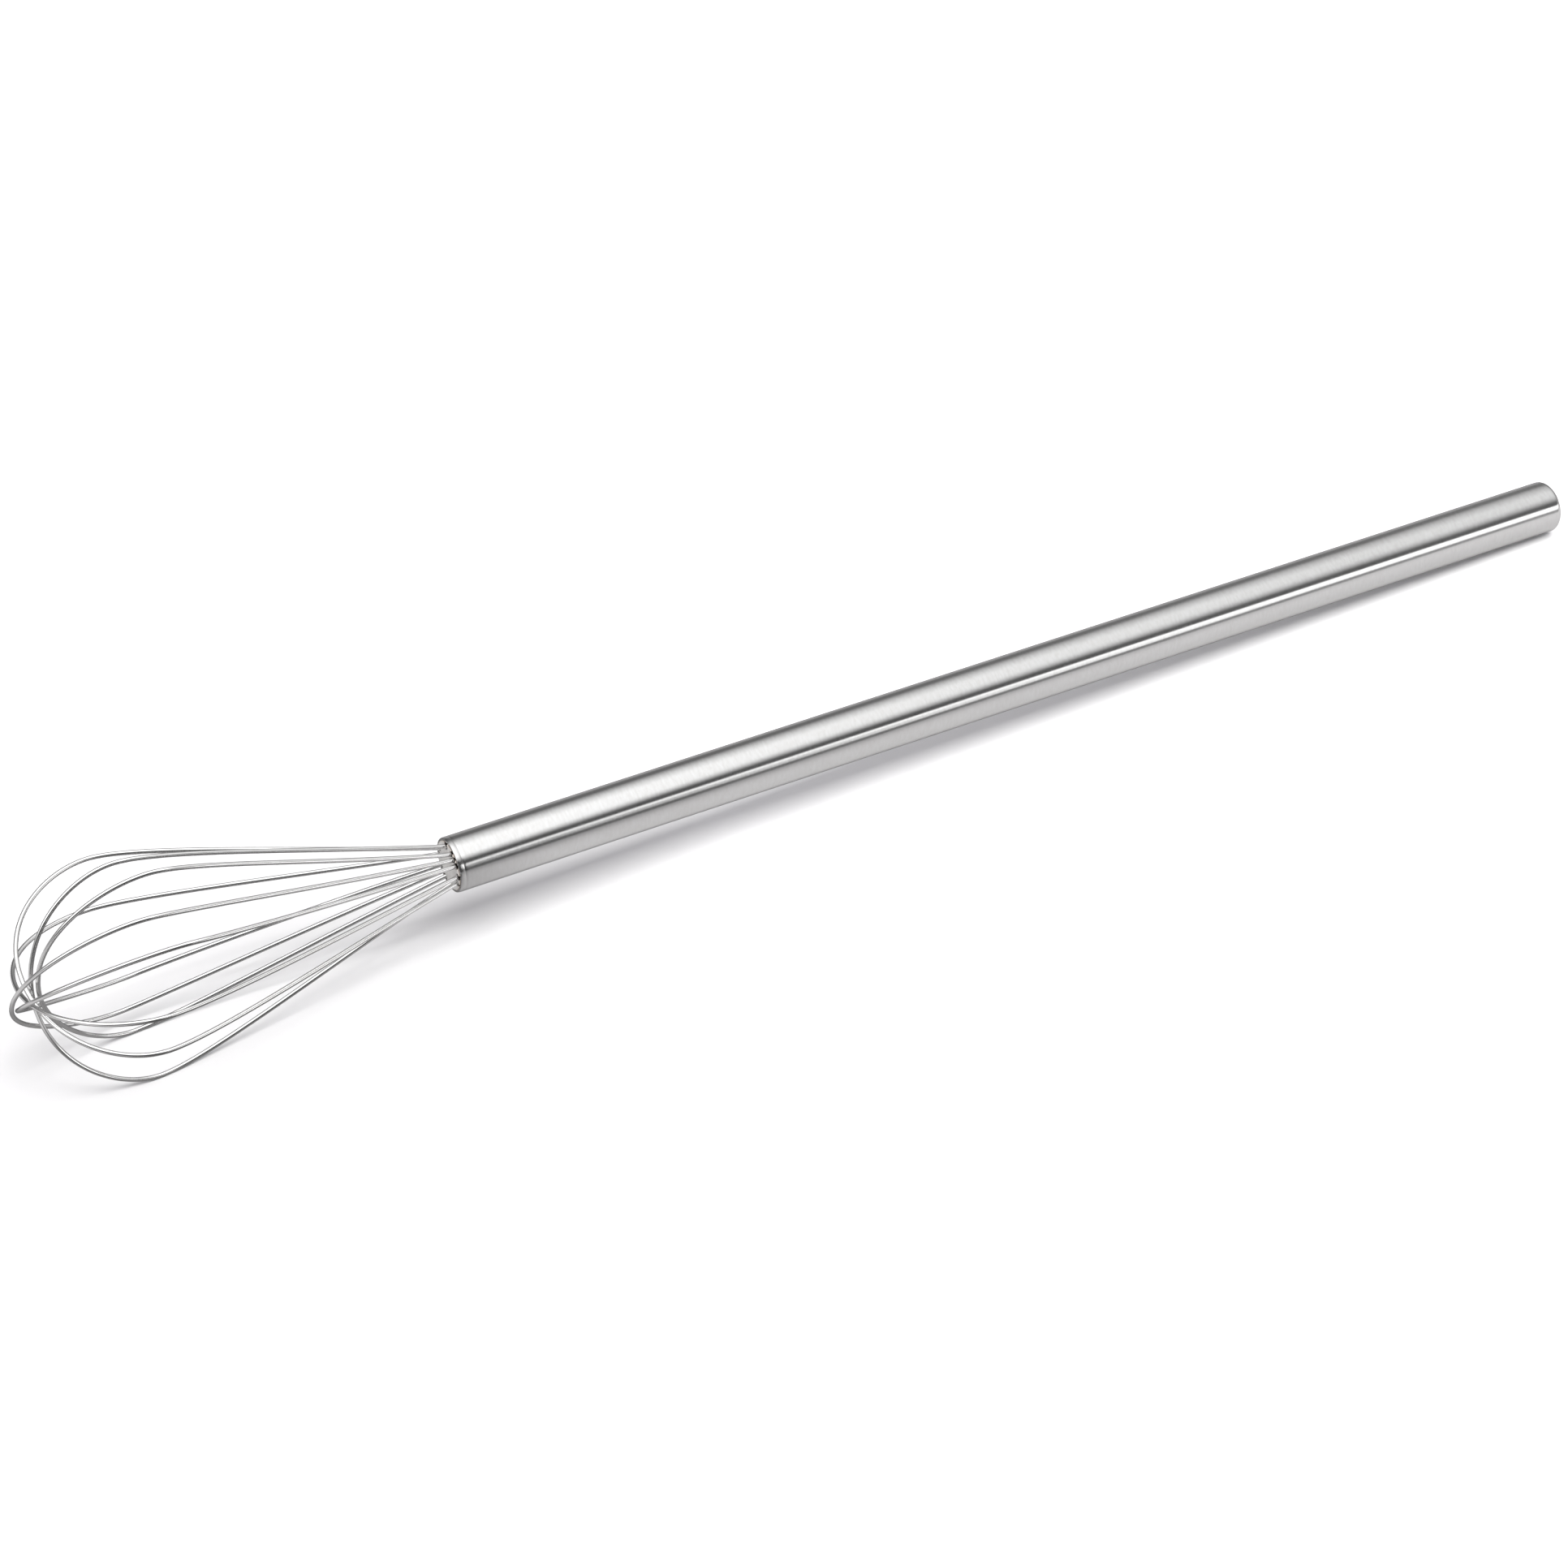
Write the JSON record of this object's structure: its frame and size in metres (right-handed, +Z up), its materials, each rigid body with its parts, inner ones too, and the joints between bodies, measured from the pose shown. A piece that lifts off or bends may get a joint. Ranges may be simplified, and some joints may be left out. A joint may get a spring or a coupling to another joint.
{
  "type": "balloon whisk",
  "caption": "Long tubular steel handle with a rounded cage of spring-wire loops sealed into its mouth, for beating and aerating large batches by hand.",
  "frame": {"origin": "on the table, under the middle of the whole whisk as it lies at rest", "axes": "+Z up from the table, +X from the wire head towards the handle's closed butt, +Y across"},
  "size_m": [0.8018, 0.0984, 0.1049],
  "materials": {
    "tube_steel": "satin, finely brushed along the handle",
    "disc_steel": "ground flush and satin polished",
    "seal_resin": "cast resin, matt, flat face",
    "anchor_steel": "plain machined, hidden in the handle",
    "wire_steel": "drawn spring wire, smooth and bright"
  },
  "bodies": {
    "root": {"handle_tube": "tube_steel", "butt_disc": "disc_steel", "mouth_seal": "seal_resin", "wire_anchor": "anchor_steel", "wire_loop_1": "wire_steel", "wire_loop_2": "wire_steel", "wire_loop_3": "wire_steel", "wire_loop_4": "wire_steel", "wire_loop_5": "wire_steel", "wire_loop_6": "wire_steel"}
  },
  "joints": []
}
